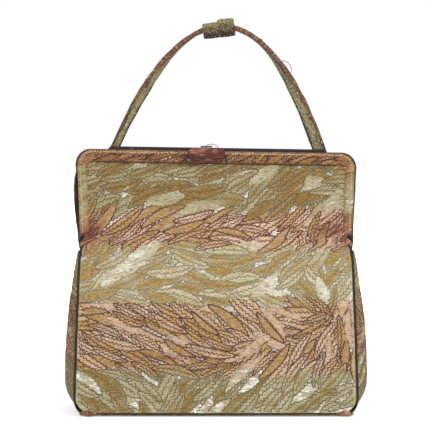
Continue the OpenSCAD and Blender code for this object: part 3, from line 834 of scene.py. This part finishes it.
def basePlace(s, t):
    x = baseCut["halfX"] * max(-1, min(1, s / baseCut["flatX"]))
    y = baseCut["halfY"] * max(-1, min(1, t / baseCut["flatY"]))
    rim = abs(s) > baseCut["flatX"] or abs(t) > baseCut["flatY"]
    return x, y, (baseCut["top"] if rim else baseCut["wave"] + baseCut["wave"] * wavy(x, y, 0, 24, 6))


baseCloth = clothGrid("base_cloth", 120, 44, lambda s, t: basePlace(s, -t),
                      lambda s, t: (s * 104, 18 + t * 34))
weaveLeaves(baseCloth, shift=(6, 60))
dress(baseCloth, brocade, "bag", ["base_panel"])

tipCut = {"at": (106.5, 35.4, 2.6), "size": (7.0, 2.9, 2.5)}


def tipPlace(signX, signY):
    def place(s, t):
        a, b = math.pi * s, math.pi / 2 * t
        p = Vector((math.cos(b) * math.cos(a), math.cos(b) * math.sin(a), math.sin(b)))
        grow = 1 + 0.30 * wavy(p.x * 9, p.y * 9, p.z * 9, 6, 3 * signX + signY) + 0.05 * math.sin(7 * a)
        x, y, z = [at + size * c * grow for at, size, c in zip(tipCut["at"], tipCut["size"], p)]
        return signX * x, signY * y, max(0.05, z)
    return place


tips = [clothGrid("tip", 28, 16, tipPlace(signX, signY), lambda s, t: (s * 20, t * 4), closed=True)
        for signX in (1, -1) for signY in (1, -1)]
cornerTips = joined("corner_tips", tips)
dress(cornerTips, cornerCloth, "bag")
print("base closed")

# Frame covers: a brocade strip glued round each frame half, with a row of stitches
coverCut = {
    "up": 7, "edge": -1.8, "top": 0.3, "inner": 1.2, "foot": 0.6,
    "lift": 0.1, "thick": 0.8, "puff": 0.5, "roll": 1.4,
    "stitch": 2.5, "stitchIn": 0.6, "stitchDown": 2.0, "stitchOut": 1.15,
    "stitchSize": (0.0017, 0.0006, 0.00062),  # this one in m
}
railSeamShadeCut = {"short": 14, "r": 0.5, "in": 0.6, "up": 0.3, "stray": 0.5}


def halfOutline(halfW, hingeX, sideIn, topIn, low):
    r = max(1.0, cut["shoulder"] - sideIn)
    zr, zl = topZ(halfW - cut["shoulder"]) - topIn, topZ(cut["shoulder"] - halfW) - topIn
    slope = (halfW - hingeX) / (cut["frameH"] - cut["shoulder"])
    points = [(hingeX - sideIn + slope * low, low)]
    for n in range(9):
        a = math.pi / 2 * n / 8
        points.append((halfW - sideIn - r + r * math.cos(a), zr - r + r * math.sin(a)))
    for n in range(9):
        a = math.pi / 2 * (1 + n / 8)
        points.append((-halfW + sideIn + r + r * math.cos(a), zl - r + r * math.sin(a)))
    points.append((-hingeX + sideIn - slope * low, low))
    return points


def spread(points):  # more points along the arms and the rail
    whole = []
    for n in range(len(points) - 1):
        long = 24 if n in (0, len(points) - 2) else 90 if n == 9 else 1
        for k in range(long):
            f = k / long
            whole.append(tuple(a + (b - a) * f for a, b in zip(points[n], points[n + 1])))
    return whole + [points[-1]]


def coverLift(side, x, z, f):  # how far the cover stands out, f is the share of the way to its inner edge
    lift = coverCut["lift"] + coverCut["thick"] * max(0.0, 1 - (2 * f - 1) ** 6) ** 0.5
    lift += coverCut["puff"] * (1 - (2 * f - 1) ** 2) * (0.6 + 0.7 * wavy(x, 0, z, 9, 5 * side))
    return lift - coverCut["roll"] * smooth((f - 0.75) / 0.25)  # the inner edge rolls down to the panel


def armNarrow(z):  # the arms narrow to the hinge over their lowest 5 mm
    return max(0.0, 5 - z) / 5 * (cut["faceY"] - 5.5)


def frameCover(name, side, halfW, hingeX, body, node):
    sideIn, topIn = cut["armW"] + coverCut["inner"], cut["railH"] + coverCut["inner"]
    outer = spread(halfOutline(halfW, hingeX, coverCut["edge"], coverCut["top"], coverCut["foot"]))
    inner = spread(halfOutline(halfW, hingeX, sideIn, topIn, coverCut["foot"]))
    last = len(outer) - 1

    def place(s, t):
        n = min(last, round((s + 1) / 2 * last))
        f = (t + 1) / 2
        x, z = (a + (b - a) * f for a, b in zip(outer[n], inner[n]))
        return x, -side * (cut["faceY"] + coverLift(side, x, z, f) - armNarrow(z)), hingeZ + z

    def clothAt(s, t):
        x, y, z = place(s, t)
        return x, z + coverCut["up"]

    piece = clothGrid(name, last, 10, place, clothAt)
    pick(piece)
    bpy.ops.object.mode_set(mode="EDIT")
    bpy.ops.mesh.select_all(action="SELECT")
    if side > 0:
        bpy.ops.mesh.flip_normals()
    bpy.ops.object.mode_set(mode="OBJECT")
    weaveLeaves(piece, shift=(3, 0))
    dress(piece, brocade, body, [node])
    return piece


def railLay(side, halfW):  # from a cloth point to its place on the rail's cover
    def lay(x, z):
        z = z - coverCut["up"] - hingeZ
        f = (topZ(x) - coverCut["top"] - z) / (cut["railH"] + coverCut["inner"] - coverCut["top"])
        if not 0.08 < f < 0.92 or abs(x) > halfW - cut["shoulder"]:
            return None
        return x, -side * (cut["faceY"] + coverLift(side, x, z, f)), hingeZ + z
    return lay


def coverStitches(name, side, halfW, hingeX, body):
    line = spread(halfOutline(halfW, hingeX, coverCut["stitchIn"], coverCut["stitchDown"], 3))
    deselect()
    bpy.ops.mesh.primitive_cube_add(size=1)
    stitch = bpy.context.object
    bpy.ops.object.mode_set(mode="EDIT")
    bpy.ops.mesh.select_all(action="SELECT")
    bpy.ops.transform.resize(value=coverCut["stitchSize"])
    bpy.ops.mesh.bevel(offset=0.00018, segments=1, affect="EDGES")
    bpy.ops.object.mode_set(mode="OBJECT")
    rng = random.Random(5 + side)
    made, walked, due = [], 0.0, 1.0
    for a, b in zip(line, line[1:]):
        step = math.dist(a, b)
        while walked + step > due:
            f = (due - walked) / step
            x, z = a[0] + (b[0] - a[0]) * f, a[1] + (b[1] - a[1]) * f
            copy = stitch.copy()
            copy.data = stitch.data.copy()
            bpy.context.collection.objects.link(copy)
            turn = math.atan2(b[1] - a[1], b[0] - a[0]) + rng.uniform(-0.25, 0.25)
            copy.rotation_euler = (0, -turn, 0)
            y = -side * (cut["faceY"] + coverCut["stitchOut"] - armNarrow(z))
            copy.location = (x * 0.001, y * 0.001, (hingeZ + z) * 0.001)
            made.append(copy)
            due += coverCut["stitch"] * rng.uniform(0.85, 1.15)
        walked += step
    bpy.data.objects.remove(stitch)
    row = joined(name, made)
    bpy.ops.object.transform_apply(location=True, rotation=True, scale=True)
    dress(row, creamThread, body)
    return row


halves = [(1, "front", cut["frameW"] / 2, cut["frontHingeX"], "front_frame"),
          (-1, "back", cut["backHalfW"], cut["backHingeX"], "bag")]
for side, word, halfW, hingeX, body in halves:
    cover = frameCover("cover_" + word + "_cloth", side, halfW, hingeX, body, "frame_cover_" + word)
    coverStitches("cover_" + word + "_stitches", side, halfW, hingeX, body)
    railThreads = couchThreads("rail_" + word + "_threads", railLay(side, halfW), (0, -side, 0), shift=(3, 0))
    dress(railThreads, outlineThread, body)
    # a dark thread along the rail's lower edge: partly the seam, partly painted shadow under the rail's edge
    seam = []
    for n in range(121):
        x = (halfW - railSeamShadeCut["short"]) * (n / 60 - 1)
        z = hingeZ + topZ(x) - cut["railH"] - coverCut["inner"] + railSeamShadeCut["up"]
        z += railSeamShadeCut["stray"] * wavy(x, 0, 0, 4, 7)
        seam.append((x, -side * (cut["faceY"] - railSeamShadeCut["in"]), z, 1 + 0.6 * wavy(x, 0, 0, 9, 11)))
    railSeamShadeLine = threadTube("rail_" + word + "_seam_shadow", seam, railSeamShadeCut["r"], sides=2)
    dress(railSeamShadeLine, seamAndShadowThread, body)
print("frame covered")

# Bound edges of the folded wings, which stand out past the back arms:
# height, how far past the arm, relative thickness
bindingCut = {
    "r": 2.1, "y": 4.6, "steps": 8,
    "left": [(137, 0.2, 0.5), (142, 1.0, 0.6), (147, 1.2, 0.7), (152, 1.0, 0.8), (160, 1.5, 1.0),
             (170, 1.9, 1.05), (180, 2.0, 1.05), (190, 1.7, 0.95), (197, 1.2, 0.8), (202, 0.4, 0.5),
             (205, -0.6, 0.3)],
    "right": [(137, 0.0, 0.5), (142, 0.8, 0.55), (148, 0.6, 0.6), (156, 0.2, 0.65), (170, 0.2, 0.7),
              (185, 0.2, 0.7), (198, 0.1, 0.6), (204, -0.4, 0.4)],
}


def bindingEdge(side, marks):
    points = []
    for n in range(bindingCut["steps"] * (len(marks) - 1) + 1):
        k = min(n // bindingCut["steps"], len(marks) - 2)
        way = smooth(n / bindingCut["steps"] - k)
        z, past, thick = [u + (v - u) * way for u, v in zip(marks[k], marks[k + 1])]
        share = min(1.0, max(0.0, z - hingeZ) / (cut["frameH"] - cut["shoulder"]))
        arm = cut["backHingeX"] + (cut["backHalfW"] - cut["backHingeX"]) * share
        points.append((side * (arm + past + 0.15 * wavy(0, 0, z, 6, 3)), bindingCut["y"], z, thick))
    return points


for side, word in ((1, "right"), (-1, "left")):
    binding = threadTube("binding_" + word, bindingEdge(side, bindingCut[word]), bindingCut["r"], sides=4)
    dress(binding, bindingCloth, "bag")
print("wing edges bound")

# Clasp: the worn roll of cloth on the lift tab
claspCut = {
    "x": -8, "half": 15.5, "pinY": -13.8, "pinZ": 212.922, "tall": 11.5, "deep": 3.4, "out": 0.1, "up": 4.1,
    # the shadow sizes are those of the dark cord painted as the shadow under the tab
    "shadowHalf": 13, "shadowOut": 1.75, "shadowUp": 1.6, "shadowR": 0.75,
}


def rollPlace(s, t):
    a, end = math.pi * s, abs(t)
    shrink = 1 - 0.45 * (max(0.0, end - 0.7) / 0.3) ** 2
    x = claspCut["x"] + claspCut["half"] * t
    worn = 1 + 0.10 * wavy(x, 4 * math.cos(a), 4 * math.sin(a), 6, 4) + 0.06 * math.sin(3 * a + x * 0.25)
    c = math.cos(a)
    y = claspCut["deep"] / 2 * c * abs(c) ** -0.25 * worn * shrink if abs(c) > 1e-6 else 0.0
    z = claspCut["tall"] / 2 * math.sin(a) * worn * shrink
    return x, claspCut["pinY"] - claspCut["out"] + y, claspCut["pinZ"] + claspCut["up"] + z


claspRoll = clothGrid("clasp_roll", 40, 60, rollPlace, lambda s, t: (t * 16 - 60, 218 + s * 2), closed=True)
dress(claspRoll, rollSilk, "clasp", ["clasp_tab"])
fold = []
for n in range(33):  # a dark cord along the roll's lower front, painted as the shadow in the gap under the tab
    u = n / 16 - 1
    x = claspCut["x"] + claspCut["shadowHalf"] * u
    z = claspCut["pinZ"] + claspCut["shadowUp"] + 0.8 * wavy(x, 0, 0, 8, 21)
    thick = 0.25 + 0.75 * (1 - u ** 2) ** 0.5 * (1 + 0.5 * wavy(x, 0, 0, 5, 17))
    fold.append((x, claspCut["pinY"] - claspCut["shadowOut"], z, thick))
dress(threadTube("clasp_shadow_cord", fold, claspCut["shadowR"], sides=3), seamAndShadowThread, "clasp")
print("clasp rolled")

# Handle strap and its two keepers
strapCut = {
    "span": 87, "x": 1, "rise": 104.5, "lean": 5, "y": 5.3, "w": 9, "t": 4.6, "end": 1.06, "power": 0.7,
    "spread": 0.22, "draw": 0.16, "mapHalf": 5, "mapLong": 150,
}


def strapAt(u):
    arch = strapCut["rise"] * (1 - abs(u) ** 2.1)
    x = strapCut["x"] + u * strapCut["span"]
    return Vector((x + strapCut["lean"] * arch / strapCut["rise"], strapCut["y"], hingeZ + topZ(x) + arch))


def strapRing(u, w, t, turn):
    back = Vector((0, 1, 0))
    side = (strapAt(u + 0.01) - strapAt(u - 0.01)).normalized().cross(back)
    a = -math.pi / 2 * (1 - smooth((abs(u) - 0.3) / 0.65))
    c, s = math.cos(turn), math.sin(turn)
    p = w / 2 * math.copysign(abs(c) ** strapCut["power"], c)
    q = t / 2 * math.copysign(abs(s) ** strapCut["power"], s)
    wide, deep = p * math.cos(a) - q * math.sin(a), p * math.sin(a) + q * math.cos(a)
    return strapAt(u) + wide * side + deep * back


def strapPlace(s, t):
    u, turn = t * strapCut["end"], math.pi * s
    fray = 1 + 0.10 * wavy(u * 90, 6 * math.cos(turn), 6 * math.sin(turn), 5, 2)
    fray += 0.10 * wavy(u * 90, 0, 0, 16, 6)
    wide = 1 + strapCut["spread"] * smooth((u - 0.55) / 0.35) - strapCut["draw"] * smooth((-u - 0.65) / 0.3)
    return strapRing(u, strapCut["w"] * fray * wide, strapCut["t"] * fray, turn)


def strapCloth(s, t):
    return strapCut["mapHalf"] * (1 + math.cos(math.pi * s)), t * strapCut["mapLong"]


strapBody = clothGrid("handle_strap_cloth", 32, 300, strapPlace, strapCloth, closed=True)
dress(strapBody, strapSilk, "bag", ["handle_strap"])

keeperCut = {"split": -0.01, "long": 0.1437, "barrel": 14.2, "deep": 14, "drop": 2, "tilt": 7,
             "left": (13.2, -2.8, -0.8), "right": (15.4, -2.8, 1.5)}  # height, and the shift along and up


def keeperPlace(middle, high, shiftX, shiftZ):
    centre = strapAt(middle) + Vector((shiftX, 0, shiftZ - keeperCut["drop"]))
    tilt = math.radians(keeperCut["tilt"])
    along, up = Vector((math.cos(tilt), 0, math.sin(tilt))), Vector((-math.sin(tilt), 0, math.cos(tilt)))

    def place(s, t):
        turn = math.pi * s
        c, d = math.cos(turn), math.sin(turn)
        rim = max(0.0, 1 - abs(t) ** 5) ** 0.5
        grow = 0.90 + 0.10 * rim + 0.04 * wavy(t * 10, 8 * c, 8 * d, 6, 3 + shiftZ)
        deep = keeperCut["deep"] / 2 * grow * math.copysign(abs(c) ** strapCut["power"], c)
        rise = high / 2 * grow * math.copysign(abs(d) ** strapCut["power"], d)
        return centre + along * keeperCut["barrel"] / 2 * t + up * rise - Vector((0, deep, 0))
    return place


for word, way in (("left", -1), ("right", 1)):
    middle = keeperCut["split"] + way * keeperCut["long"] / 2
    keeper = clothGrid("keeper_" + word + "_cloth", 40, 26, keeperPlace(middle, *keeperCut[word]),
                       lambda s, t: (strapCut["mapHalf"] * (1 - math.sin(math.pi * s)), t * 6), closed=True)
    dress(keeper, keeperSilkShaded, "bag", ["keeper_" + word])

# Loose threads at the strap and the clasp, each from cloth to cloth
looseEnds = {
    "strap": [(54.5, 3.4, 294.5), (57.5, 2.2, 296.0), (61.0, 1.5, 294.0), (63.2, 1.8, 290.5),
              (63.6, 2.8, 287.0), (62.2, 4.2, 284.2)],
    "top": [(33.5, 2.0, 311.6), (36.0, 0.6, 314.2), (38.6, 1.2, 313.6), (40.0, 3.0, 311.0)],
    "clasp": [(-9.0, -13.6, 222.6), (-7.0, -12.5, 225.4), (-3.0, -12.0, 226.0), (0.5, -13.0, 224.6),
              (2.5, -13.8, 222.4)],
}
looseR = 0.3
for word, points in looseEnds.items():
    body = "clasp" if word == "clasp" else "bag"
    dress(threadTube("loose_thread_" + word, points, looseR, sides=2), greyThread, body)
print("handle made")

# Lining: a pouch open at the top, and a facing inside each frame half
liningCut = {
    "in": 2.3, "gap": 0.5, "low": 5.4, "top": 142, "inset": 4.6, "floorX": 106, "floorY": 30.5,
    "facingLow": 141, "facingTop": 210, "facingInset": 11,
}


def liningWall(side, low, top, inset):
    def place(s, t):
        z = between(low, top, t)
        x = s * (panelHalf(z) - inset)
        puff = 0.4 * wavy(x, 0, z, 30, 6) * (1 - s * s)
        return -side * x, -side * (panelFace(x, z) - liningCut["in"] - liningCut["gap"] + puff), panelZ(x, z)
    return place


def liningSide(side):
    def place(s, t):
        z = between(liningCut["low"], liningCut["top"], t)
        y = s * (seamY(z) - liningCut["inset"])
        return side * (gussetFace(y, z) - liningCut["in"] - liningCut["gap"]), -side * y, z
    return place


def liningFloor(s, t):
    z = liningCut["low"] + 0.2 * wavy(s * 100, t * 30, 0, 20, 2)
    return s * liningCut["floorX"], t * liningCut["floorY"], z


def liningAt(s, t):
    return s * 100, t * 60


walls = []
for side in (1, -1):
    place = liningWall(side, liningCut["low"], liningCut["top"], liningCut["inset"])
    walls.append(clothGrid("wall", 60, 40, place, liningAt))
walls += [clothGrid("wall", 24, 40, liningSide(side), liningAt) for side in (1, -1)]
walls.append(clothGrid("wall", 40, 20, liningFloor, liningAt))
liningPouch = joined("lining_pouch_cloth", walls)
dress(liningPouch, liningSateen, "bag", ["lining_pouch"])
for side, word in ((1, "front"), (-1, "back")):
    place = liningWall(side, liningCut["facingLow"], liningCut["facingTop"], liningCut["facingInset"])
    facing = clothGrid("facing_" + word + "_cloth", 60, 30, place, liningAt)
    dress(facing, liningSateen, None if side > 0 else "bag", ["lining_" + word])
    if side > 0:
        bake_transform(facing)
print("lining set in")

# Finishes on the solids that stay
for node in ("frame_front", "frame_back", "closing_lip", "clasp_ears", "clasp_finger", "handle_ferrule_left",
             "handle_ferrule_right"):
    dress(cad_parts[node], frameSteel)
for node in ("hinge_rivet_left", "hinge_rivet_right", "clasp_pin"):
    dress(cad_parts[node], rivetSteel)
dress(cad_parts["base_board"], greyBoard)

# Studio: a pale floor that fades to white, and soft light from the upper right
studio = {
    "floor": "#f4f4f4", "floorZ": -0.0006, "world": 0.55, "glow": 0.5, "aim": (0, 0, 0.14),
    "key_light": ((0.8, -1.3, 1.5), 0.9, 22), "fill_light": ((-0.8, -1.6, 0.9), 1.2, 9),  # place, size, power
}
deselect()
bpy.ops.mesh.primitive_plane_add(size=8, location=(0, 0, studio["floorZ"]))
floor = bpy.context.object
floor.name = "studio_floor"
material, tree, surface = newMaterial("floor_paper")
surface.inputs["Base Color"].default_value = toLinear(studio["floor"])
surface.inputs["Roughness"].default_value = 0.9
surface.inputs["Emission Color"].default_value = (1, 1, 1, 1)
place = addNode(tree, "ShaderNodeTexCoord").outputs["Object"]
reach = addNode(tree, "ShaderNodeVectorMath", {"operation": "LENGTH"}, {0: place}).outputs["Value"]
glow = mathNode(tree, "MULTIPLY", mapRange(tree, reach, 0.15, 0.9, studio["glow"], 1.0), seenStraight(tree))
tree.links.new(glow, surface.inputs["Emission Strength"])  # the camera sees white paper, and the shadow stays
floor.data.materials.append(material)

world = bpy.data.worlds.new("studio_world")
bpy.context.scene.world = world
world.use_nodes = True
tree = world.node_tree
tree.nodes.clear()
strength = mapRange(tree, seenStraight(tree), 0.0, 1.0, studio["world"], 1.0)
sky = addNode(tree, "ShaderNodeBackground", {"Color": (1, 1, 1, 1)}, {"Strength": strength})
addNode(tree, "ShaderNodeOutputWorld", links={"Surface": sky.outputs["Background"]})


def aimed(name, data, place, target):
    thing = bpy.data.objects.new(name, data)
    bpy.context.collection.objects.link(thing)
    thing.location = place
    thing.rotation_euler = (Vector(target) - Vector(place)).to_track_quat("-Z", "Y").to_euler()
    return thing


for name in ("key_light", "fill_light"):
    place, size, power = studio[name]
    lamp = bpy.data.lights.new(name, "AREA")
    lamp.energy, lamp.size = power, size
    aimed(name, lamp, place, studio["aim"])

shot = {"place": (0, -1.6, 0.255), "target": (0, -0.01, 0.1655), "lens": 158.0}
camera = aimed("photo_camera", bpy.data.cameras.new("photo_camera"), shot["place"], shot["target"])
camera.data.sensor_width = 36
camera.data.lens = shot["lens"]
bpy.context.scene.camera = camera
bpy.context.scene.view_settings.view_transform = "Standard"
print("studio lit")
